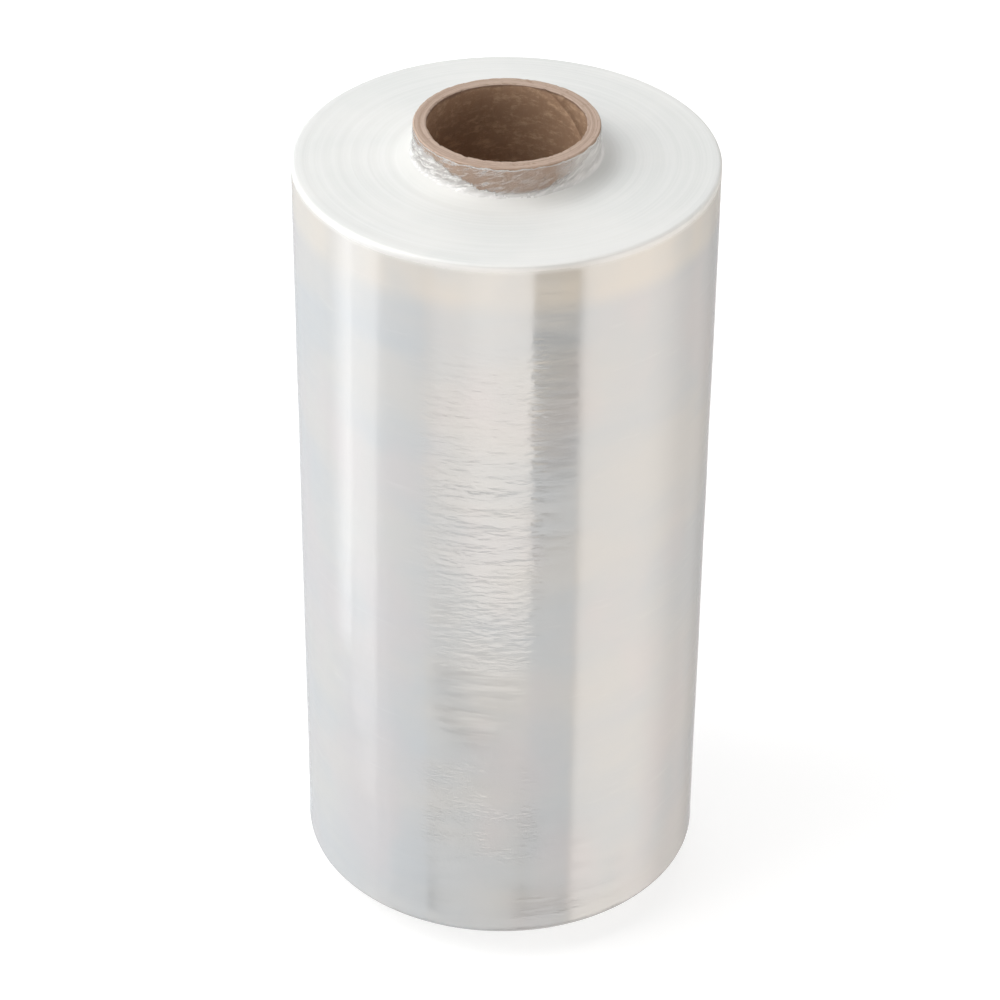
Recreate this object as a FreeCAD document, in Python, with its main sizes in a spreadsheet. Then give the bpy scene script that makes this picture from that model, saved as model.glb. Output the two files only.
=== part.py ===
import FreeCAD, Part
import math
import os
import Sketcher

# A roll of clear stretch wrap standing on end: one web of film wound tight on a spiral paperboard core, with
# a torn collar of loose film round the core's upper end. +Z runs up the core's axis, -Y is the front, and the
# origin is the centre of the core's lower end face.
doc = FreeCAD.newDocument("stretch_wrap_roll")

# Driving dimensions, in millimetres
SIZE_TABLE = [
    ("film_width", 400, "width of the web, from one end face of the wound film to the other"),
    ("roll_diameter", 205, "outside of the outermost turn"),
    ("bore_diameter", 76.2, "bore of the core, for a three inch mandrel"),
    ("core_wall", 6.4, "all the glued paper plies together"),
    ("core_overhang", 18, "core that stands out past each end of the film"),
    ("crushed_edge", 0.7, "bevel of the outer edges, where the saw crushed the paper"),
    ("deburred_edge", 0.3, "bevel of the inner edges"),
    ("seam_gap", 1.1, "gap between neighbouring turns of one ply, along the axis"),
    ("ply_thickness", 0.4, "one paper ply, and so the depth of that gap"),
    ("seam_lead", 138, "rise of the seam in one turn round the core"),
    ("rim_radius", 2.6, "rounding where an end face turns into the side"),
    ("creep_height", 4, "how far the first turns stand up beside the core"),
    ("creep_lip", 0.8, "thickness of those upstanding turns at their tip"),
    ("creep_reach", 11, "distance from the core at which the end face has levelled off"),
    ("turn_band", 4.6, "radial width of one visible band of turns on an end face"),
    ("turn_step", 0.45, "largest step between neighbouring bands"),
    ("hoop_band", 60, "height of one hoop of the side, where the web runs thick or thin"),
    ("hoop_slope", 5, "height of the slope from one hoop to the next"),
    ("hoop_relief", 0.3, "how far the thinnest hoop lies below the thickest"),
    ("collar_slack", 0.15, "air between the core and the loose collar of film round its upper end"),
    ("collar_thickness", 0.5, "wall of that collar"),
    ("collar_bare", 3, "bare core left above that collar where it is whole"),
    ("collar_low", 2.5, "height of the collar where it is torn lowest"),
    ("tear_depth", 1.4, "depth of the notches along its torn edge"),
]
sheet = doc.addObject("Spreadsheet::Sheet", "Sizes")
for row, (alias, value, meaning) in enumerate(SIZE_TABLE, start=1):
    sheet.set(f"A{row}", meaning)
    sheet.set(f"B{row}", str(value))
    sheet.setAlias(f"B{row}", alias)
doc.recompute()

# Places that several features share, as expressions on the sheet
BORE_RADIUS = "Sizes.bore_diameter / 2"
CORE_RADIUS = "(Sizes.bore_diameter / 2 + Sizes.core_wall)"
CORE_LENGTH = "(2 * Sizes.core_overhang + Sizes.film_width)"
ROLL_RADIUS = "Sizes.roll_diameter / 2"
FILM_BOTTOM = "Sizes.core_overhang"
FILM_TOP = "(Sizes.core_overhang + Sizes.film_width)"


def value_of(expression):
    """The number that an expression on the sheet stands for."""
    return float(sheet.evalExpression(expression))


def add_sketch(body, name, plane_role):
    """An empty sketch on one of the body's own origin planes."""
    sketch = body.newObject("Sketcher::SketchObject", name)
    plane = next(p for p in body.Origin.OriginFeatures if p.Role == plane_role)
    sketch.AttachmentSupport = [(plane, "")]
    sketch.MapMode = "FlatFace"
    return sketch


def bind(sketch, kind, *where, to):
    """A dimension of a sketch, driven by the sheet."""
    index = sketch.addConstraint(Sketcher.Constraint(kind, *where, value_of(to)))
    sketch.setExpression(f"Constraints[{index}]", to)


def draw_outline(sketch, corners):
    """A closed outline of straight lines through corners whose x and y are expressions on the sheet."""
    points = [FreeCAD.Vector(value_of(x), value_of(y)) for x, y in corners]
    for point, following in zip(points, points[1:] + points[:1]):
        sketch.addGeometry(Part.LineSegment(point, following))
    for index, (x, y) in enumerate(corners):
        sketch.addConstraint(Sketcher.Constraint("Coincident", index, 2, (index + 1) % len(corners), 1))
        bind(sketch, "DistanceX", -1, 1, index, 1, to=x)
        bind(sketch, "DistanceY", -1, 1, index, 1, to=y)


def revolve(body, name, corners):
    """Material turned about the core's axis from a half section."""
    section = add_sketch(body, f"{name}_section", "XZ_Plane")
    draw_outline(section, corners)
    turned = body.newObject("PartDesign::Revolution", name)
    turned.Profile = section
    turned.ReferenceAxis = (section, ["V_Axis"])
    turned.Angle = 360
    doc.recompute()


def circular_edges(shape, radius):
    """Names of the circular edges that have a given radius."""
    return [
        f"Edge{number}"
        for number, edge in enumerate(shape.Edges, start=1)
        if isinstance(edge.Curve, Part.Circle) and abs(edge.Curve.Radius - radius) < 0.001
    ]


def bevel_edges(body, name, edge_radius, size):
    """A chamfer along both of the tube's end circles of one radius."""
    base = body.Tip
    bevel = body.newObject("PartDesign::Chamfer", name)
    bevel.Base = (base, circular_edges(base.Shape, value_of(edge_radius)))
    bevel.setExpression("Size", size)
    doc.recompute()


def cut_seam(body, name, plane_role, face_radius, into_wall):
    """The helical gap that one ply leaves between its own turns, a ply deep in a face of the tube.

    into_wall is + where the wall lies outside that face, and - where it lies inside.
    """
    gap = add_sketch(body, f"{name}_gap", plane_role)
    out_of_wall = "-" if into_wall == "+" else "+"
    clear = f"{face_radius} {out_of_wall} Sizes.ply_thickness"
    deep = f"{face_radius} {into_wall} Sizes.ply_thickness"
    draw_outline(gap, [(clear, "-3 * Sizes.seam_gap"), (clear, "-Sizes.seam_gap"), (deep, "-2 * Sizes.seam_gap")])
    seam = body.newObject("PartDesign::SubtractiveHelix", name)
    seam.Profile = gap
    seam.ReferenceAxis = (gap, ["V_Axis"])
    seam.Mode = "pitch-height-angle"
    seam.setExpression("Pitch", "Sizes.seam_lead")
    seam.setExpression("Height", f"{CORE_LENGTH} + 4 * Sizes.seam_gap")
    doc.recompute()


# Spiral-wound paperboard core: a sawn length of tube, open right through
core = doc.addObject("PartDesign::Body", "paper_core")
tube_ring = add_sketch(core, "tube_ring", "XY_Plane")
for radius in (BORE_RADIUS, CORE_RADIUS):
    circle = Part.Circle(FreeCAD.Vector(), FreeCAD.Vector(0, 0, 1), value_of(radius))
    ring = tube_ring.addGeometry(circle)
    tube_ring.addConstraint(Sketcher.Constraint("Coincident", ring, 3, -1, 1))
    bind(tube_ring, "Radius", ring, to=radius)
tube = core.newObject("PartDesign::Pad", "tube")
tube.Profile = tube_ring
tube.setExpression("Length", CORE_LENGTH)
doc.recompute()
bevel_edges(core, "crushed_edges", CORE_RADIUS, "Sizes.crushed_edge")
bevel_edges(core, "deburred_edges", BORE_RADIUS, "Sizes.deburred_edge")
cut_seam(core, "inner_seam", "XZ_Plane", BORE_RADIUS, into_wall="+")
cut_seam(core, "outer_seam", "YZ_Plane", CORE_RADIUS, into_wall="-")

# Wound film: the edges of its turns show as bands on the end faces, which the winding left a little uneven.
# The first turns have crept up beside the core in a cove, and the last ones round off into the side, where
# the web runs a little thick in some hoops and thin in others.
FACE_INNER = f"({CORE_RADIUS} + Sizes.creep_reach)"
FACE_OUTER = f"({ROLL_RADIUS} - Sizes.rim_radius)"
LIP_RADIUS = f"({CORE_RADIUS} + Sizes.creep_lip)"
SIDE_TOP = f"({FILM_TOP} - Sizes.rim_radius)"
SIDE_BOTTOM = f"({FILM_BOTTOM} + Sizes.rim_radius)"
COVE_BANDS = 3
RIM_BANDS = 3
UNEVENNESS = 2.4  # radians from one band to the next, which makes neighbours differ


def unevenness(band):
    """How far a band lies below the highest one, as a share of the largest step."""
    return round((1 + math.sin(UNEVENNESS * band)) / 2, 3)


def band_edges(start, end, width):
    """The edges between bands of about a given width, with start and end themselves left out."""
    count = max(1, round(abs(value_of(end) - value_of(start)) / value_of(width)))
    return [f"{start} + ({end} - {start}) * {edge} / {count}" for edge in range(1, count)]


def end_face(level, outwards, first_band):
    """Corners of one end face from the core out to the side. outwards is + at the top and - below."""
    profile = [(CORE_RADIUS, "Sizes.creep_height")]
    for band in range(COVE_BANDS + 1):
        share = band / COVE_BANDS
        radius = f"{LIP_RADIUS} + ({FACE_INNER} - {LIP_RADIUS}) * {share}"
        profile.append((radius, f"Sizes.creep_height * {(1 - share) ** 2}"))
    for band, radius in enumerate(band_edges(FACE_INNER, FACE_OUTER, "Sizes.turn_band"), start=first_band):
        profile.append((radius, f"-Sizes.turn_step * {unevenness(band)}"))
    for band in range(RIM_BANDS + 1):
        angle = f"{90 * band / RIM_BANDS} deg"
        radius = f"{FACE_OUTER} + Sizes.rim_radius * sin({angle})"
        profile.append((radius, f"Sizes.rim_radius * (cos({angle}) - 1)"))
    return [(radius, f"{level} {outwards} ({rise})") for radius, rise in profile]


hoop_edges = band_edges(SIDE_TOP, SIDE_BOTTOM, "Sizes.hoop_band")
hoop_depths = [0, *(unevenness(hoop) for hoop in range(1, len(hoop_edges))), 0]
side = []
for hoop, height in enumerate(hoop_edges):
    side.append((f"{ROLL_RADIUS} - Sizes.hoop_relief * {hoop_depths[hoop]}", f"{height} + Sizes.hoop_slope / 2"))
    side.append((f"{ROLL_RADIUS} - Sizes.hoop_relief * {hoop_depths[hoop + 1]}", f"{height} - Sizes.hoop_slope / 2"))
film = doc.addObject("PartDesign::Body", "wound_film")
revolve(film, "turns", [*end_face(FILM_TOP, "+", 0), *side, *reversed(end_face(FILM_BOTTOM, "-", 5))])

# Loose collar of the same film round the bare core at the upper end, standing on the first turns. Its front
# has been torn away in ragged steps.
COLLAR_INNER = f"({CORE_RADIUS} + Sizes.collar_slack)"
COLLAR_OUTER = f"({COLLAR_INNER} + Sizes.collar_thickness)"
COLLAR_FOOT = f"({FILM_TOP} + Sizes.creep_height)"
COLLAR_TOP = f"({CORE_LENGTH} - Sizes.collar_bare)"
TORN_LOWEST = f"({COLLAR_FOOT} + Sizes.collar_low)"
CLEAR_OF_COLLAR = f"({COLLAR_OUTER} + Sizes.collar_thickness)"
TEARS = 10  # notches and tongues along the torn edge, from one side of the core to the other
collar = doc.addObject("PartDesign::Body", "torn_collar")
revolve(collar, "ring", [
    (COLLAR_INNER, COLLAR_FOOT),
    (COLLAR_INNER, COLLAR_TOP),
    (COLLAR_OUTER, COLLAR_TOP),
    (COLLAR_OUTER, COLLAR_FOOT),
])
ragged_edge = []
for tear in range(TEARS, -1, -1):
    aside = 2 * tear / TEARS - 1
    whole = f"{TORN_LOWEST} + ({COLLAR_TOP} - {TORN_LOWEST}) * {abs(aside)}"
    ragged_edge.append((f"{CLEAR_OF_COLLAR} * {aside}", f"{whole} - Sizes.tear_depth * {tear % 2}"))
torn_edge = add_sketch(collar, "torn_edge", "XZ_Plane")
draw_outline(torn_edge, [(f"-{CLEAR_OF_COLLAR}", CORE_LENGTH), (CLEAR_OF_COLLAR, CORE_LENGTH), *ragged_edge])
torn = collar.newObject("PartDesign::Pocket", "torn_off")
torn.Profile = torn_edge
torn.Type = "ThroughAll"
torn.Reversed = True
doc.recompute()

for feature in doc.Objects:
    if {"Invalid", "Error"} & set(feature.State):
        raise RuntimeError(f"{feature.Label} failed: {feature.State}")
os.makedirs("parts", exist_ok=True)
for body in (core, film, collar):
    if body.Shape.isNull() or not body.Shape.isValid() or len(body.Shape.Solids) != 1:
        raise RuntimeError(f"{body.Label} isn't one valid solid")
    body.Shape.exportStep(f"parts/{body.Label}.step")
    print(body.Label, round(body.Shape.Volume), "mm3", len(body.Shape.Faces), "faces")
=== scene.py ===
import math

import bmesh
import bpy
from mathutils import Matrix, Vector, noise


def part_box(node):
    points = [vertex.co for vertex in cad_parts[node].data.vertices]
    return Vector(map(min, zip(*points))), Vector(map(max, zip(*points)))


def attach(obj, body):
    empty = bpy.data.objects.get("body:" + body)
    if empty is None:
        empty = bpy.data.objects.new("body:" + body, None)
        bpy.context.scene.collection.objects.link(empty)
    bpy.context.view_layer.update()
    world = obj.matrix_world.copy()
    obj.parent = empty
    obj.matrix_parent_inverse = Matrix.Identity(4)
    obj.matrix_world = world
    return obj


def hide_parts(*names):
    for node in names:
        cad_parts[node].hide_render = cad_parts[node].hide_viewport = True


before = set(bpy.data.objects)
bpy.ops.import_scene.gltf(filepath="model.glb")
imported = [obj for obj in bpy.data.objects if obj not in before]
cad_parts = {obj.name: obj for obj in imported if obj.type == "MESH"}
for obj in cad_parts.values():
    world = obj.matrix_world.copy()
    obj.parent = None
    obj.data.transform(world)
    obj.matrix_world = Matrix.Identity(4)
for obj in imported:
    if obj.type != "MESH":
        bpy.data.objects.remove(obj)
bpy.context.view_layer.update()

# Paper core: a sawn length of spiral tube, wound from plies of brown paper and glued, open right through.
# It stands out past the film at both ends. The innermost and outermost ply each leave a gap between their
# turns, the saw left the cut ends furry, and handling crushed their edges.
MM = 0.001
core_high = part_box("paper_core")[1]
CORE_TOP = core_high.z
CORE_RADIUS = core_high.x
CORE_WALL = 6.4 * MM
BORE_RADIUS = CORE_RADIUS - CORE_WALL
PLY = 0.4 * MM
SEAM_LEAD = 138 * MM
SEAM_GAP = 1.1 * MM
CRUSHED_EDGE = 0.7 * MM
DEBURRED_EDGE = 0.3 * MM
TURN_STEPS = 144


def wind_wall(form, radius, gap_radius, seam_azimuth, row_height):
    """One face of the tube, as a helical band one lead tall with half of a ply's gap along each edge."""
    rows = round(SEAM_LEAD / row_height)
    heights = [SEAM_GAP / 2 + (SEAM_LEAD - SEAM_GAP) * row / rows for row in range(rows + 1)]
    section = [(gap_radius, 0), *((radius, height) for height in heights), (gap_radius, SEAM_LEAD)]
    start = -SEAM_LEAD - 2 * SEAM_GAP
    corners = [form.verts.new((reach, 0, start + height)) for reach, height in section]
    edges = [form.edges.new(pair) for pair in zip(corners, corners[1:])]
    turns = (CORE_TOP - start) / SEAM_LEAD
    steps = math.ceil(turns * TURN_STEPS)
    bmesh.ops.rotate(form, verts=corners, cent=(0, 0, 0), matrix=Matrix.Rotation(seam_azimuth, 3, "Z"))
    bmesh.ops.spin(form, geom=corners + edges, cent=(0, 0, 0), axis=(0, 0, 1), steps=steps,
                   dvec=(0, 0, SEAM_LEAD / TURN_STEPS), angle=math.tau * steps / TURN_STEPS)
    bmesh.ops.remove_doubles(form, verts=form.verts, dist=0.01 * MM)


def saw_off(form, height, keep_below):
    """Cuts a wall square at one height."""
    outwards = (0, 0, 1 if keep_below else -1)
    bmesh.ops.bisect_plane(form, geom=form.verts[:] + form.edges[:] + form.faces[:],
                           plane_co=(0, 0, height), plane_no=outwards, clear_outer=True)


def open_edges(form, height, outside):
    """The edges left open at one height, on the outside of the tube or in its bore."""
    middle = (BORE_RADIUS + CORE_RADIUS) / 2
    return [edge for edge in form.edges if edge.is_boundary
            and all(abs(corner.co.z - height) < 0.01 * MM for corner in edge.verts)
            and all((corner.co.xy.length > middle) == outside for corner in edge.verts)]


def carry_on(form, edges, radius, height):
    """Continues an open edge of the tube to another radius and height."""
    grown = bmesh.ops.extrude_edge_only(form, edges=edges)["geom"]
    corners = {item for item in grown if isinstance(item, bmesh.types.BMVert)}
    for corner in corners:
        flat = corner.co.xy.normalized() * radius
        corner.co = (flat.x, flat.y, height)
    return [edge for edge in form.edges if edge.is_boundary and set(edge.verts) <= corners]


def finished_piece(form, name):
    """The piece that a bmesh makes, with its faces turned outwards and shaded smooth."""
    bmesh.ops.recalc_face_normals(form, faces=form.faces)
    mesh = bpy.data.meshes.new(name)
    form.to_mesh(mesh)
    form.free()
    mesh.shade_smooth()
    piece = bpy.data.objects.new(name, mesh)
    bpy.context.scene.collection.objects.link(piece)
    return piece


bore_wall, outer_wall = bmesh.new(), bmesh.new()
wind_wall(bore_wall, BORE_RADIUS, BORE_RADIUS + PLY, 0, 6 * MM)
wind_wall(outer_wall, CORE_RADIUS, CORE_RADIUS - PLY, math.pi / 2, 4 * MM)
for wall, edge_size in ((bore_wall, DEBURRED_EDGE), (outer_wall, CRUSHED_EDGE)):
    saw_off(wall, CORE_TOP - edge_size, keep_below=True)
    saw_off(wall, edge_size, keep_below=False)
outer_mesh = bpy.data.meshes.new("outer_wall")
outer_wall.to_mesh(outer_mesh)
outer_wall.free()
core_form = bore_wall
core_form.from_mesh(outer_mesh)
bpy.data.meshes.remove(outer_mesh)
plies = round((CORE_WALL - CRUSHED_EDGE - DEBURRED_EDGE) / PLY)
for end, inwards in ((0, 1), (CORE_TOP, -1)):
    ring = open_edges(core_form, end + inwards * DEBURRED_EDGE, outside=False)
    ring = carry_on(core_form, ring, BORE_RADIUS + 0.1 * MM, end + inwards * 0.12 * MM)
    for ply in range(plies + 1):
        ring = carry_on(core_form, ring, BORE_RADIUS + DEBURRED_EDGE + ply * PLY, end)
    rim = open_edges(core_form, end + inwards * CRUSHED_EDGE, outside=True)
    rim = carry_on(core_form, rim, CORE_RADIUS - 0.25 * MM, end + inwards * 0.22 * MM)
    bmesh.ops.bridge_loops(core_form, edges=ring + rim)


def furry_cut(place):
    """Where a point of the sawn and handled core really lies."""
    reach = place.xy.length
    around = place.xy.normalized()
    from_end = min(place.z, CORE_TOP - place.z)
    ply = round((reach - BORE_RADIUS) / PLY)
    near_end = max(0.0, 1 - from_end / (1.5 * MM))
    coarse = noise.noise(Vector((around.x * 5, around.y * 5, ply * 0.35 + place.z * 3)))
    fine = noise.noise(Vector((around.x * 42, around.y * 42, ply * 2.7)))
    bitten = max(0.0, fine - 0.02) * (1 if reach < BORE_RADIUS + 1.6 * PLY else 0.2)
    drop = near_end * MM * (0.08 * (1 + coarse) + 0.05 * abs(fine) + 2.8 * bitten)
    swell = 0.10 * MM * noise.noise(Vector((around.x * 3, around.y * 3, place.z * 45)))
    dent = near_end * 0.22 * MM * noise.noise(Vector((around.x * 9, around.y * 9, 7.5)))
    inwards = 1 if place.z > CORE_TOP / 2 else -1
    moved = around * (reach + swell + dent)
    return Vector((moved.x, moved.y, place.z - inwards * drop))


for corner in core_form.verts:
    corner.co = furry_cut(corner.co)
core = finished_piece(core_form, "spiral_core")
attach(core, "root")
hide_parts("paper_core")


def step(tree, kind, inputs, **settings):
    """One node of a finish. An input is a number, a colour, or the output of another node that feeds it."""
    made = tree.nodes.new(kind)
    for setting, value in settings.items():
        setattr(made, setting, value)
    for name, value in inputs.items():
        if isinstance(value, bpy.types.NodeSocket):
            tree.links.new(value, made.inputs[name])
        else:
            made.inputs[name].default_value = value
    return made


def sum_up(tree, operation, *terms):
    """A Math node on one, two or three terms."""
    return step(tree, "ShaderNodeMath", dict(enumerate(terms)), operation=operation).outputs[0]


def fade(tree, value, start, end, low=0.0, high=1.0):
    """A soft change from low to high while a value goes from start to end."""
    return step(tree, "ShaderNodeMapRange", {"Value": value, "From Min": start, "From Max": end,
                "To Min": low, "To Max": high}, interpolation_type="SMOOTHSTEP").outputs[0]


def blend(tree, share, first, second):
    """A colour between two others."""
    return step(tree, "ShaderNodeMix", {0: share, 6: first, 7: second}, data_type="RGBA").outputs[2]


def grain(tree, vector, scale, detail=3, roughness=0.5, stretch=(1, 1, 1)):
    """Noise of so many grains a metre, drawn out along the axes."""
    drawn_out = step(tree, "ShaderNodeMapping", {"Vector": vector, "Scale": stretch}).outputs[0]
    return step(tree, "ShaderNodeTexNoise", {"Vector": drawn_out, "Scale": scale, "Detail": detail,
                "Roughness": roughness}).outputs["Fac"]


def new_finish(name):
    """A material, its tree and shader, the place on the object, and that place round the core's axis."""
    material = bpy.data.materials.new(name)
    material.use_nodes = True
    tree = material.node_tree
    place = step(tree, "ShaderNodeTexCoord", {}).outputs["Object"]
    apart = step(tree, "ShaderNodeSeparateXYZ", {"Vector": place})
    across, deep, height = apart.outputs
    reach = sum_up(tree, "SQRT", sum_up(tree, "ADD", sum_up(tree, "MULTIPLY", across, across),
                   sum_up(tree, "MULTIPLY", deep, deep)))
    return material, tree, tree.nodes["Principled BSDF"], place, (across, deep, height, reach)


board, tree, shader, place, (across, deep, height, reach) = new_finish("brown_paperboard")
fibres = grain(tree, place, 700, 4, 0.65, (1, 1, 0.35))
flecks = grain(tree, place, 230, 2, 0.6)
mottle = grain(tree, place, 60, 3, 0.6)
paper = blend(tree, fade(tree, fibres, 0.35, 0.68), (0.42, 0.30, 0.225, 1), (0.54, 0.405, 0.315, 1))
paper = blend(tree, fade(tree, mottle, 0.40, 0.70, 0, 0.5), paper, (0.57, 0.435, 0.35, 1))
paper = blend(tree, fade(tree, flecks, 0.64, 0.74, 0, 0.6), paper, (0.27, 0.17, 0.115, 1))
# The outer wall of the core is painted darker: painted shade under the film collar.
painted_shade_under_collar = fade(tree, reach, CORE_RADIUS - 1.5 * MM, CORE_RADIUS - 0.7 * MM, 0, 0.55)
paper = blend(tree, painted_shade_under_collar, paper, (0.24, 0.155, 0.105, 1))
from_middle = sum_up(tree, "ABSOLUTE", sum_up(tree, "SUBTRACT", height, CORE_TOP / 2))
from_cut = sum_up(tree, "SUBTRACT", CORE_TOP / 2, from_middle)
on_cut = fade(tree, from_cut, 0.9 * MM, 0.5 * MM)
ply_place = step(tree, "ShaderNodeCombineXYZ", {
    "X": sum_up(tree, "MULTIPLY", reach, 1 / PLY),
    "Y": sum_up(tree, "MULTIPLY", across, 22),
    "Z": sum_up(tree, "MULTIPLY", deep, 22)}).outputs[0]
ply_noise = step(tree, "ShaderNodeTexNoise", {"Vector": ply_place, "Scale": 0.8, "Detail": 2})
ply_lines = ply_noise.outputs["Fac"]
cut_paper = blend(tree, fade(tree, ply_lines, 0.34, 0.60), (0.44, 0.32, 0.25, 1), (0.575, 0.445, 0.365, 1))
cut_paper = blend(tree, fade(tree, flecks, 0.60, 0.75, 0, 0.5), cut_paper, (0.33, 0.22, 0.155, 1))
paper = blend(tree, on_cut, paper, cut_paper)
in_bore = sum_up(tree, "MULTIPLY", fade(tree, reach, BORE_RADIUS + 1.0 * MM, BORE_RADIUS + 0.5 * MM),
                 sum_up(tree, "SUBTRACT", 1, on_cut))
scuffs = fade(tree, grain(tree, place, 130, 5, 0.8, (1, 1, 2.2)), 0.46, 0.66)
# The bore's paper is darker than the outer wall: painted shade inside the tube, with pale scuffs that are
# real marks.
bore_paper_and_shade = blend(tree, scuffs, (0.36, 0.22, 0.135, 1), (0.56, 0.38, 0.245, 1))
# A dark ragged band just inside each sawn end of the bore is painted shade under the rim.
painted_shade_inside_cut_ends = sum_up(tree, "ADD", from_cut, sum_up(tree, "MULTIPLY", mottle, 4 * MM))
painted_shade_inside_cut_ends = fade(tree, painted_shade_inside_cut_ends, 4.4 * MM, 2.9 * MM, 0, 0.8)
bore_paper_and_shade = blend(tree, painted_shade_inside_cut_ends, bore_paper_and_shade, (0.16, 0.10, 0.07, 1))
paper = blend(tree, sum_up(tree, "MULTIPLY", in_bore, 0.85), paper, bore_paper_and_shade)
tree.links.new(paper, shader.inputs["Base Color"])
tree.links.new(fade(tree, fibres, 0.3, 0.7, 0.95, 0.78), shader.inputs["Roughness"])
shader.inputs["Specular IOR Level"].default_value = 0.25
ply_relief = sum_up(tree, "MULTIPLY", ply_lines, sum_up(tree, "MULTIPLY", on_cut, 1.5))
relief = sum_up(tree, "ADD", fibres, ply_relief)
relief = sum_up(tree, "ADD", relief, sum_up(tree, "MULTIPLY", scuffs, 0.4))
bump = step(tree, "ShaderNodeBump", {"Height": relief, "Strength": 0.6, "Distance": 0.25 * MM})
tree.links.new(bump.outputs[0], shader.inputs["Normal"])
core.data.materials.append(board)

# Wound film: one web of clear stretch film, some 2900 turns of it wound tight on the core, so that they look
# milky together. The side is glossy and lies in fine wrinkles. The edges of the turns make up the end faces.
# These are matter and whiter, and the first turns have crept up beside the core in a cove.
film_low, film_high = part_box("wound_film")
CREEP_HEIGHT = 4 * MM
CREEP_LIP = 0.8 * MM
CREEP_REACH = 11 * MM
FILM_TOP = film_high.z - CREEP_HEIGHT
FILM_BOTTOM = film_low.z + CREEP_HEIGHT
ROLL_RADIUS = film_high.x
RIM_RADIUS = 2.1 * MM
TURN_BAND = 4.6 * MM
TURN_RELIEF = 0.36 * MM
HOOP_BAND = 56.5 * MM
HOOP_RELIEF = 0.3 * MM
LIP_RADIUS = CORE_RADIUS + CREEP_LIP
FACE_INNER = CORE_RADIUS + CREEP_REACH
FACE_OUTER = ROLL_RADIUS - RIM_RADIUS
SPIN_STEPS = 256
SIDE_ROWS = 236
FACE_ROWS = 40
COVE_ROWS = 9
RIM_ROWS = 7


def cove_height(reach):
    """How far the first turns stand up above the end face at a radius."""
    share = min(1, max(0, (reach - LIP_RADIUS) / (FACE_INNER - LIP_RADIUS)))
    return CREEP_HEIGHT * (1 - share) ** 2


def end_face_section(level, outwards):
    """Places along one end face, from the core out to the side."""
    section = [(CORE_RADIUS, level + outwards * CREEP_HEIGHT)]
    for row in range(COVE_ROWS):
        reach = LIP_RADIUS + (FACE_INNER - LIP_RADIUS) * row / COVE_ROWS
        section.append((reach, level + outwards * cove_height(reach)))
    for row in range(FACE_ROWS):
        section.append((FACE_INNER + (FACE_OUTER - FACE_INNER) * row / FACE_ROWS, level))
    for row in range(RIM_ROWS + 1):
        turn = math.pi / 2 * row / RIM_ROWS
        dropped = RIM_RADIUS * (1 - math.cos(turn))
        section.append((FACE_OUTER + RIM_RADIUS * math.sin(turn), level - outwards * dropped))
    return section


SIDE_TOP = FILM_TOP - RIM_RADIUS
SIDE_BOTTOM = FILM_BOTTOM + RIM_RADIUS
side_levels = [SIDE_TOP + (SIDE_BOTTOM - SIDE_TOP) * row / SIDE_ROWS for row in range(1, SIDE_ROWS)]
side_section = [(ROLL_RADIUS, level) for level in side_levels]
section = [*end_face_section(FILM_TOP, 1), *side_section, *reversed(end_face_section(FILM_BOTTOM, -1))]
film_form = bmesh.new()
corners = [film_form.verts.new((radius, 0, level)) for radius, level in section]
edges = [film_form.edges.new(pair) for pair in zip(corners, corners[1:] + corners[:1])]
bmesh.ops.spin(film_form, geom=corners + edges, cent=(0, 0, 0), axis=(0, 0, 1), angle=math.tau,
               steps=SPIN_STEPS, use_merge=True)
bmesh.ops.remove_doubles(film_form, verts=film_form.verts, dist=0.01 * MM)

CREASED_HEIGHT = 0.278
CREASED_REACH = 0.034
CREASED_AZIMUTH = math.radians(-3)
CREASED_TURN = 0.34
RIPPLED_HEIGHT = 0.285
CRINKLED_HEIGHT = 0.216
FOOT_CRINKLED_HEIGHT = 0.098
WRINKLES_LEFT_OF_FRONT = 12 * MM


def rolling(value, seed):
    """A smooth run of ups and downs between 0 and 1."""
    return 0.5 + 0.5 * noise.noise(Vector((value, seed, 0.5)))


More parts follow.
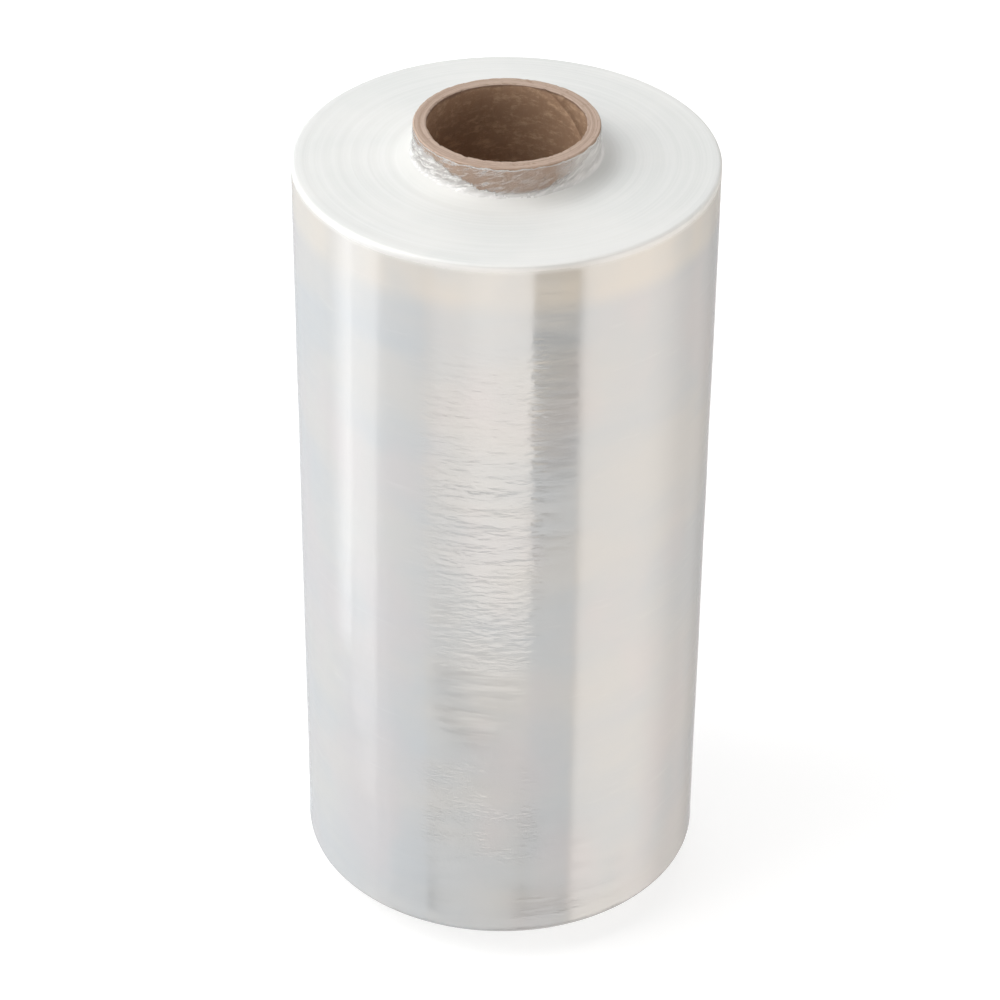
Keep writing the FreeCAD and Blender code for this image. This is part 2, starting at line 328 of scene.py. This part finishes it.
def wound_place(place):
    """Where a point of the web really lies: hoops and wrinkles on the side, uneven turns on the ends."""
    reach = place.xy.length
    around = place.xy.normalized()
    azimuth = math.atan2(place.x, -place.y)
    on_side = min(1, max(0, (reach - ROLL_RADIUS + RIM_RADIUS) / RIM_RADIUS)) ** 2
    from_rim = min(place.z - FILM_BOTTOM, FILM_TOP - place.z)
    full = min(1, max(0, from_rim / (9 * MM)))
    hoop = HOOP_RELIEF * rolling(place.z / HOOP_BAND * 1.7, 3.1)
    swell = 0.14 * MM * noise.noise(Vector((around.x * 1.6, around.y * 1.6, place.z * 9)))
    leaning = place.z + 0.06 * around.x
    drift = 0.09 * MM * noise.noise(Vector((around.x * 1.3, around.y * 1.3, leaning * 34)))
    slant = place.z + 0.005 * around.x
    creased = max(0.0, 1 - abs(place.z - CREASED_HEIGHT) / CREASED_REACH) ** 0.5
    creased *= max(0.0, 1 - abs(azimuth - CREASED_AZIMUTH) / CREASED_TURN)
    patch = max(0.0, noise.noise(Vector((around.x * 1.7, around.y * 1.7, place.z * 15))) + 0.2)
    wrinkle = noise.noise(Vector((around.x * 3.4, around.y * 3.4, slant * 225)))
    finer = noise.noise(Vector((around.x * 5.5 + 4, around.y * 5.5, slant * 300)))
    depth = 0.012 + 0.045 * patch + 0.28 * creased
    wrinkles = MM * depth * (wrinkle + 0.35 * finer) + drift
    inset = on_side * full * (hoop + swell + wrinkles)
    level = 0.0
    if reach > CORE_RADIUS + 0.01 * MM:
        turn_reach = min(reach, FACE_OUTER)
        band = (turn_reach - CORE_RADIUS) / TURN_BAND
        wander = 0.35 * noise.noise(Vector((around.x * 0.9, around.y * 0.9, band * 0.2)))
        bands = TURN_RELIEF * rolling(band + wander, 8.4)
        rings = 0.07 * MM * noise.noise(Vector((around.x * 0.5, around.y * 0.5, turn_reach * 800)))
        level = max(0.0, 1 - max(0.0, from_rim) / (14 * MM)) * (bands + rings)
    inwards = 1 if place.z > CORE_TOP / 2 else -1
    moved = around * (reach - inset)
    return Vector((moved.x, moved.y, place.z - inwards * level))


for corner in film_form.verts:
    corner.co = wound_place(corner.co)
END_FACE_SLOT = 1
for face in film_form.faces:
    middle = face.calc_center_median()
    if middle.xy.length < FACE_OUTER + (0.75 if middle.z > CORE_TOP / 2 else 0.2) * RIM_RADIUS:
        face.material_index = END_FACE_SLOT
film = finished_piece(film_form, "film_turns")
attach(film, "root")
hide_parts("wound_film")

milky_side, tree, shader, place, (across, deep, height, reach) = new_finish("glossy_wound_film")
cloud = grain(tree, place, 9, 3, 0.5, (1, 1, 2.2))
streaks = grain(tree, place, 30, 4, 0.6, (1, 1, 9))
threads = grain(tree, place, 60, 3, 0.6, (1, 1, 14))
web = blend(tree, fade(tree, cloud, 0.35, 0.68), (0.445, 0.465, 0.48, 1), (0.505, 0.495, 0.475, 1))
blush = grain(tree, place, 21, 2, 0.5, (1, 1, 0.6))
web = blend(tree, fade(tree, blush, 0.45, 0.70, 0, 0.6), web, (0.515, 0.475, 0.475, 1))
web = blend(tree, fade(tree, streaks, 0.60, 0.78, 0, 0.15), web, (0.62, 0.615, 0.60, 1))
# Below the upper rim the side is painted warmer: painted warm light, not a colour of the film.
painted_warm_light = fade(tree, height, FILM_TOP - 30 * MM, FILM_TOP - 17 * MM)
painted_warm_light = sum_up(tree, "MULTIPLY", painted_warm_light, fade(tree, blush, 0.36, 0.62, 0.35, 0.9))
web = blend(tree, painted_warm_light, web, (0.60, 0.55, 0.475, 1))
milky_rim = fade(tree, height, FILM_TOP - 6 * MM, FILM_TOP - 1.5 * MM, 0, 0.85)
web = blend(tree, milky_rim, web, (0.78, 0.785, 0.77, 1))
tree.links.new(web, shader.inputs["Base Color"])
hazy = fade(tree, streaks, 0.35, 0.70, 0.09, 0.18)
hazy = sum_up(tree, "ADD", hazy, sum_up(tree, "MULTIPLY", milky_rim, 0.3))
tree.links.new(hazy, shader.inputs["Roughness"])
shader.inputs["IOR"].default_value = 2.5
from_middle = sum_up(tree, "ABSOLUTE", sum_up(tree, "ADD", across, WRINKLES_LEFT_OF_FRONT))
in_front = fade(tree, from_middle, 38 * MM, 23 * MM)
in_front = sum_up(tree, "MULTIPLY", in_front, fade(tree, deep, 0, -40 * MM))
scattered = fade(tree, grain(tree, place, 13, 2, 0.5, (1, 1, 2.2)), 0.50, 0.66, 0, 0.7)
patches = fade(tree, grain(tree, place, 55, 2, 0.5, (1, 1, 1.8)), 0.40, 0.60, 0.15, 1)
from_crinkles = sum_up(tree, "ABSOLUTE", sum_up(tree, "SUBTRACT", height, CRINKLED_HEIGHT))
upper_crinkles = sum_up(tree, "MULTIPLY", fade(tree, from_crinkles, 32 * MM, 24 * MM), 0.7)
from_foot = sum_up(tree, "ABSOLUTE", sum_up(tree, "SUBTRACT", height, FOOT_CRINKLED_HEIGHT))
lower_crinkles = fade(tree, from_foot, 46 * MM, 22 * MM)
crinkled = sum_up(tree, "MULTIPLY", sum_up(tree, "MAXIMUM", upper_crinkles, lower_crinkles), in_front)
crinkled = sum_up(tree, "MAXIMUM", crinkled, sum_up(tree, "MULTIPLY", scattered, 0.25))
crinkled = sum_up(tree, "MULTIPLY", crinkled, patches)
crinkles = grain(tree, place, 230, 2, 0.6, (1, 1, 2.6))
from_ripples = sum_up(tree, "ABSOLUTE", sum_up(tree, "SUBTRACT", height, RIPPLED_HEIGHT))
rippled = sum_up(tree, "MULTIPLY", fade(tree, from_ripples, 105 * MM, 75 * MM), in_front)
rippled_all_round = sum_up(tree, "ADD", 0.05, sum_up(tree, "MULTIPLY", scattered, 0.2))
rippled = sum_up(tree, "MAXIMUM", rippled, rippled_all_round)
ripples = grain(tree, place, 120, 2, 0.5, (1, 1, 2.8))
relief = sum_up(tree, "ADD", streaks, sum_up(tree, "MULTIPLY", threads, 0.25))
bump = step(tree, "ShaderNodeBump", {"Height": relief, "Strength": 0.5, "Distance": 0.09 * MM})
bump = step(tree, "ShaderNodeBump", {"Height": ripples, "Strength": rippled, "Distance": 0.26 * MM,
            "Normal": bump.outputs[0]})
bump = step(tree, "ShaderNodeBump", {"Height": crinkles, "Strength": crinkled, "Distance": 0.21 * MM,
            "Normal": bump.outputs[0]})
tree.links.new(bump.outputs[0], shader.inputs["Normal"])
film.data.materials.append(milky_side)

milky_end, tree, shader, place, (across, deep, height, reach) = new_finish("matt_film_edges")
ring_place = step(tree, "ShaderNodeCombineXYZ", {
    "X": sum_up(tree, "MULTIPLY", reach, 900),
    "Y": sum_up(tree, "MULTIPLY", across, 9),
    "Z": sum_up(tree, "MULTIPLY", deep, 9)}).outputs[0]
ring_noise = step(tree, "ShaderNodeTexNoise", {"Vector": ring_place, "Scale": 1, "Detail": 3})
turn_edges = ring_noise.outputs["Fac"]
cloud = grain(tree, place, 17, 3, 0.5)
white = blend(tree, fade(tree, cloud, 0.36, 0.66), (0.81, 0.825, 0.81, 1), (0.865, 0.87, 0.85, 1))
white = blend(tree, fade(tree, turn_edges, 0.35, 0.70, 0, 0.35), white, (0.92, 0.92, 0.91, 1))
# Round the foot of the core the end face is painted greyer: painted shade in the cove.
painted_shade_beside_core = fade(tree, reach, FACE_INNER + 4 * MM, LIP_RADIUS, 0, 0.5)
white = blend(tree, painted_shade_beside_core, white, (0.74, 0.73, 0.70, 1))
tree.links.new(white, shader.inputs["Base Color"])
tree.links.new(fade(tree, turn_edges, 0.3, 0.7, 0.50, 0.36), shader.inputs["Roughness"])
shader.inputs["IOR"].default_value = 1.5
bump = step(tree, "ShaderNodeBump", {"Height": turn_edges, "Strength": 0.25, "Distance": 0.12 * MM})
tree.links.new(bump.outputs[0], shader.inputs["Normal"])
film.data.materials.append(milky_end)

# Torn collar: the loose film round the core above the upper end face, held only by its own cling. Its first
# turn lies clear and unbroken on the board. The turns over it are crumpled, whiter, and torn away at the
# front in ragged tongues.
COLLAR_STEPS = 480
COLLAR_FOOT_REACH = 2.6 * MM
COLLAR_TOP = CORE_TOP - 1.1 * MM
TORN_MIDDLE = math.radians(6)
TORN_REACH = math.radians(58)
COLLAR_FOOT = FILM_TOP + cove_height(CORE_RADIUS + COLLAR_FOOT_REACH) - 0.5 * MM


def round_noise(azimuth, frequency, third):
    """Noise that closes on itself round the core."""
    return noise.noise(Vector((math.sin(azimuth) * frequency, math.cos(azimuth) * frequency, third)))


def torn_edge(azimuth):
    """Height of the ragged edge of the torn turns at an azimuth, counted from the front towards +X."""
    aside = (azimuth - TORN_MIDDLE + math.pi) % math.tau - math.pi
    share = min(1, abs(aside) / TORN_REACH)
    tongue = max(0.0, round_noise(azimuth, 55, 9.0) - 0.1)
    rough = 1.5 * round_noise(azimuth, 10, 2.0) + 0.8 * round_noise(azimuth, 36, 5.0)
    rough += 5.0 * tongue * (1 - share)
    return COLLAR_FOOT + max(0.35 * MM, (COLLAR_TOP - COLLAR_FOOT - 1.2 * MM) * share ** 1.2 + rough * MM)


def clear_edge(azimuth):
    """Height of the upper edge of the first, unbroken turn."""
    return COLLAR_TOP + 0.7 * MM * round_noise(azimuth, 7, 4.0) + 0.4 * MM * round_noise(azimuth, 40, 6.0)


def stand_off(azimuth, share, height, looseness):
    """How far a turn stands off the core at a place: its foot, its folds and its curled tip."""
    slanted = height - 0.35 * CORE_RADIUS * math.sin(azimuth)
    smooth_side = min(1, max(0, (math.sin(azimuth) + 0.1) / 0.6))
    smooth_side *= min(1, max(0, math.cos(azimuth) + 0.6))
    fold = abs(round_noise(azimuth, 5, slanted * 330))
    crease = abs(round_noise(azimuth, 13, slanted * 700))
    curl = max(0.0, round_noise(azimuth, 12, 1.0)) * share ** 4
    foot = COLLAR_FOOT_REACH * (1 - min(1, (height - COLLAR_FOOT) / (4 * MM))) ** 2
    clinging = min(1, 0.25 + share * 2) * (1 - share ** 3)
    loose = ((0.8 * fold + 0.3 * crease) * clinging + 0.35 * curl) * looseness * (1 - 0.7 * smooth_side)
    return foot + MM * (0.09 + 0.07 * looseness + loose)


def collar_turn(form, rows, upper_edge, looseness, finish_slot):
    """One turn of film round the core, from the cove of the end face up to its own upper edge."""
    foot_reach = CORE_RADIUS + COLLAR_FOOT_REACH
    along = form.verts.layers.float.new("along")
    corners = [form.verts.new((0, -foot_reach, row / rows)) for row in range(rows + 1)]
    edges = [form.edges.new(pair) for pair in zip(corners, corners[1:])]
    bmesh.ops.spin(form, geom=corners + edges, cent=(0, 0, 0), axis=(0, 0, 1), angle=math.tau,
                   steps=COLLAR_STEPS, use_merge=True)
    bmesh.ops.remove_doubles(form, verts=form.verts, dist=0.01 * MM)
    for corner in form.verts:
        share = corner.co.z
        corner[along] = share
        azimuth = math.atan2(corner.co.x, -corner.co.y)
        height = COLLAR_FOOT + (upper_edge(azimuth) - COLLAR_FOOT) * share
        reach = CORE_RADIUS + stand_off(azimuth, share, height, looseness)
        corner.co = (reach * math.sin(azimuth), -reach * math.cos(azimuth), height)
    for face in form.faces:
        face.material_index = finish_slot


torn_turns, first_turn = bmesh.new(), bmesh.new()
collar_turn(torn_turns, 16, torn_edge, 1.0, 0)
collar_turn(first_turn, 14, clear_edge, 0.18, 1)
first_mesh = bpy.data.meshes.new("first_turn")
first_turn.to_mesh(first_mesh)
first_turn.free()
torn_turns.from_mesh(first_mesh)
bpy.data.meshes.remove(first_mesh)
collar = finished_piece(torn_turns, "loose_film_collar")
thickness = collar.modifiers.new("film_thickness", "SOLIDIFY")
thickness.thickness = 0.08 * MM
thickness.offset = -1
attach(collar, "root")
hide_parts("torn_collar")


def collar_finish(name, least_cover, right_side_cover, whitening, frayed, painted_edge_highlight):
    """Clear film that is more or less white, and whitest where it is creased."""
    material, tree, shader, place, (across, deep, height, reach) = new_finish(name)
    slanted = sum_up(tree, "SUBTRACT", height, sum_up(tree, "MULTIPLY", across, 0.35))
    fold_place = step(tree, "ShaderNodeCombineXYZ", {"X": sum_up(tree, "MULTIPLY", across, 0.25),
                      "Y": sum_up(tree, "MULTIPLY", deep, 0.25), "Z": slanted}).outputs[0]
    creases = grain(tree, fold_place, 620, 3, 0.6)
    on_right = fade(tree, across, -20 * MM, 14 * MM)
    more_on_right = sum_up(tree, "MULTIPLY", on_right, right_side_cover - least_cover)
    cover = sum_up(tree, "ADD", least_cover, more_on_right)
    whitest = sum_up(tree, "MULTIPLY", fade(tree, creases, 0.46, 0.66, 0, whitening),
                     fade(tree, on_right, 0, 1, 1, 0.45))
    cover = sum_up(tree, "ADD", cover, whitest)
    low_down = fade(tree, height, COLLAR_FOOT + 4 * MM, COLLAR_FOOT + 1 * MM, 0, 0.42)
    cover = sum_up(tree, "ADD", cover, low_down)
    gathered_far_right = fade(tree, across, 18 * MM, 42 * MM, 0, 0.42)
    cover = sum_up(tree, "ADD", cover, gathered_far_right)
    along = step(tree, "ShaderNodeAttribute", {}, attribute_name="along").outputs["Fac"]
    shreds = sum_up(tree, "MULTIPLY", sum_up(tree, "SUBTRACT", creases, 0.5), 0.5)
    shreds = sum_up(tree, "ADD", along, shreds)
    cover = sum_up(tree, "MULTIPLY", cover, fade(tree, shreds, 0.80, 1.0, 1, 1 - frayed))
    # Near its upper edge the film is painted whiter and more opaque: a painted highlight line along the
    # edge.
    cover = sum_up(tree, "ADD", cover, fade(tree, along, 0.93, 0.97, 0, painted_edge_highlight))
    cover = step(tree, "ShaderNodeClamp", {"Value": cover, "Min": 0.04}).outputs[0]
    tree.links.new(cover, shader.inputs["Alpha"])
    shader.inputs["Base Color"].default_value = (0.88, 0.87, 0.855, 1)
    shader.inputs["Roughness"].default_value = 0.24
    shader.inputs["IOR"].default_value = 1.6
    bump = step(tree, "ShaderNodeBump", {"Height": creases, "Strength": 0.4, "Distance": 0.25 * MM})
    tree.links.new(bump.outputs[0], shader.inputs["Normal"])
    return material


collar.data.materials.append(collar_finish("whitened_torn_film", 0.34, 0.18, 0.46, 0.9, 0))
collar.data.materials.append(collar_finish("clear_first_turn", 0.03, 0.07, 0.28, 0, 0.32))

# Floor and surroundings: a plain white paper sweep in a white room. The roll's shadow stays on the paper.
floor_form = bmesh.new()
bmesh.ops.create_grid(floor_form, x_segments=1, y_segments=1, size=6)
floor = finished_piece(floor_form, "floor")
floor.visible_glossy = False
floor.visible_shadow = False
paper_floor = bpy.data.materials.new("white_floor")
paper_floor.use_nodes = True
tree = paper_floor.node_tree
tree.nodes.clear()
seen = step(tree, "ShaderNodeLightPath", {}).outputs["Is Camera Ray"]
matt = step(tree, "ShaderNodeBsdfDiffuse", {"Color": (0.5, 0.5, 0.5, 1)})
floor_place = step(tree, "ShaderNodeTexCoord", {}).outputs["Object"]
from_roll = step(tree, "ShaderNodeVectorMath", {0: floor_place}, operation="LENGTH").outputs["Value"]
glowing = sum_up(tree, "MULTIPLY", seen, fade(tree, from_roll, 0.5, 1.1, 0.66, 1))
glow = step(tree, "ShaderNodeEmission", {"Strength": glowing})
both = step(tree, "ShaderNodeAddShader", {0: matt.outputs[0], 1: glow.outputs[0]})
step(tree, "ShaderNodeOutputMaterial", {"Surface": both.outputs[0]})
floor.data.materials.append(paper_floor)

world = bpy.data.worlds.new("white_room")
bpy.context.scene.world = world
world.use_nodes = True
tree = world.node_tree
tree.nodes.clear()
seen = step(tree, "ShaderNodeLightPath", {}).outputs["Is Camera Ray"]
white_air = step(tree, "ShaderNodeBackground", {"Color": (1, 1, 1, 1), "Strength": 1.0})
dim_air = step(tree, "ShaderNodeBackground", {"Color": (0.93, 0.96, 1, 1), "Strength": 0.14})
mirrored = step(tree, "ShaderNodeLightPath", {}).outputs["Is Glossy Ray"]
towards = step(tree, "ShaderNodeTexCoord", {}).outputs["Generated"]
upwards = step(tree, "ShaderNodeSeparateXYZ", {"Vector": towards}).outputs["Z"]
white_below = sum_up(tree, "MULTIPLY", mirrored, fade(tree, upwards, -0.68, -0.78, 0, 0.8))
seen = sum_up(tree, "MAXIMUM", seen, white_below)
air = step(tree, "ShaderNodeMixShader", {0: seen, 1: dim_air.outputs[0], 2: white_air.outputs[0]})
step(tree, "ShaderNodeOutputWorld", {"Surface": air.outputs[0]})


# Lamps: soft boxes round the roll and over it. The side of the roll mirrors the tall ones as upright bands.
# Because it is seen from above, they reach below the floor's level, where only reflections see them.
def softbox(name, azimuth, distance, height, width, tall, colour, radiance, roll=0.0, aim=None):
    """A rectangular lamp at an azimuth counted from the front towards +X, in degrees."""
    lamp = bpy.data.lights.new(name, "AREA")
    lamp.shape = "RECTANGLE"
    lamp.size, lamp.size_y = width, tall
    lamp.color = colour
    lamp.energy = radiance * math.pi * width * tall
    turn = math.radians(azimuth)
    stand = Vector((distance * math.sin(turn), -distance * math.cos(turn), height))
    target = Vector(aim) if aim else Vector((0, 0, height))
    facing = (target - stand).to_track_quat("-Z", "Y").to_matrix()
    turned = facing @ Matrix.Rotation(math.radians(roll), 3, "Z")
    holder = bpy.data.objects.new(name, lamp)
    holder.matrix_world = Matrix.Translation(stand) @ turned.to_4x4()
    holder.visible_camera = False
    bpy.context.scene.collection.objects.link(holder)


def tall_softbox(name, left, right, distance, low, high, colour, radiance, roll=0.0):
    """A softbox between two azimuths and two heights."""
    half_turn = math.radians((right - left) / 2)
    softbox(name, (left + right) / 2, distance * math.cos(half_turn), (low + high) / 2,
            2 * distance * math.sin(half_turn), high - low, colour, radiance, roll)


def fading_softboxes(name, left, right, panels, distance, low, high, colour, first, last, roll=0.0):
    """A run of narrow softboxes side by side, whose light goes softly from first to last."""
    for panel in range(panels):
        share = (panel + 0.5) / panels
        radiance = first + (last - first) * share * share * (3 - 2 * share)
        start = left + (right - left) * panel / panels
        end = left + (right - left) * (panel + 1) / panels
        tall_softbox(f"{name}_{panel}", start, end, distance, low, high, colour, radiance, roll)


COOL = (0.94, 0.97, 1)
WARM = (1, 0.945, 0.89)
softbox("ceiling", 190, 0.4, 2.0, 1.6, 1.6, (1, 1, 1), 0.95, aim=(0, 0, 0.3))
softbox("key", -78, 1.15, 1.61, 1.5, 1.5, (1, 0.99, 0.97), 3.15, aim=(0, 0, 0.42))
softbox("back_sky", 180, 1.6, 1.5, 1.8, 1.0, (1, 1, 1), 0.8, aim=(0, 0, 0.42))
softbox("front_sky", 10, 1.7, 1.55, 2.0, 1.1, (1, 1, 1), 0.32, aim=(0, 0, 0.42))
fading_softboxes("back_left", -180, -103, 13, 1.3, -1.25, 0.8, COOL, 0.58, 1.06)
tall_softbox("left_wall", -103, -66, 1.3, -1.25, 0.8, (0.92, 0.955, 1), 1.09)
tall_softbox("left_front_wall", -66, -42.6, 1.3, -1.1, 0.8, (0.92, 0.955, 1), 0.99)
fading_softboxes("left_window_edge", -100, -84, 5, 1.2, -0.70, 0.8, (1, 1, 1), 0.1, 0.95, roll=-14)
tall_softbox("left_window", -84, -66, 1.2, -0.66, 0.8, (1, 1, 1), 0.6, roll=-14)
tall_softbox("left_window_low", -84, -66, 1.2, -0.84, 0.8, (1, 1, 1), 0.34, roll=-14)
fading_softboxes("front_window_edge", -43, -31, 4, 1.7, -0.97, 0.8, (1, 0.955, 0.92), 1.05, 1.42)
tall_softbox("front_window", -31, 15, 1.7, -0.97, 0.8, WARM, 1.45)
fading_softboxes("front_glow_left", -27, -10, 5, 1.7, -0.97, 0.8, WARM, 0, 0.42)
tall_softbox("front_glow", -10, 15, 1.7, -0.97, 0.8, WARM, 0.42)
tall_softbox("window_sill", -43, 15, 1.7, -1.35, -0.97, (1, 0.98, 0.95), 0.98)
tall_softbox("warm_glow", 15, 39.5, 1.8, -0.66, -0.2, (1, 0.82, 0.60), 0.95)
tall_softbox("low_corner", 15, 39.5, 1.8, -1.5, -0.82, (0.96, 0.98, 1), 0.95)
fading_softboxes("right_window_edge", 39, 44, 3, 1.2, -1.0, 0.8, WARM, 0.9, 1.74)
tall_softbox("right_window", 44, 76, 1.2, -1.0, 0.8, WARM, 1.74)
fading_softboxes("right_fade", 76, 122, 10, 1.2, -1.05, 0.8, WARM, 1.74, 0.82)
fading_softboxes("right_dim", 122, 150, 5, 1.2, -1.15, 0.8, WARM, 0.82, 0.45)
fading_softboxes("back_right", 150, 180, 3, 1.2, -1.15, 0.8, (1, 0.97, 0.95), 0.45, 0.55)

# Camera: above the roll and straight in front of it, far enough away to see it nearly without perspective.
CAMERA_PLACE = (0, -1.4543, 1.2254)
CAMERA_LOOKS_DOWN = 34.688
CAMERA_LOOKS_LEFT = 0.064
CAMERA_TILT = 0.535
camera_data = bpy.data.cameras.new("camera")
camera_data.lens = 125.5
camera_data.sensor_width = 36
camera = bpy.data.objects.new("camera", camera_data)
camera_turn = (Matrix.Rotation(math.radians(CAMERA_LOOKS_LEFT), 3, "Z")
               @ Matrix.Rotation(math.radians(90 - CAMERA_LOOKS_DOWN), 3, "X")
               @ Matrix.Rotation(math.radians(CAMERA_TILT), 3, "Z"))
camera.matrix_world = Matrix.Translation(CAMERA_PLACE) @ camera_turn.to_4x4()
bpy.context.scene.collection.objects.link(camera)
bpy.context.scene.camera = camera
bpy.context.scene.view_settings.view_transform = "Standard"
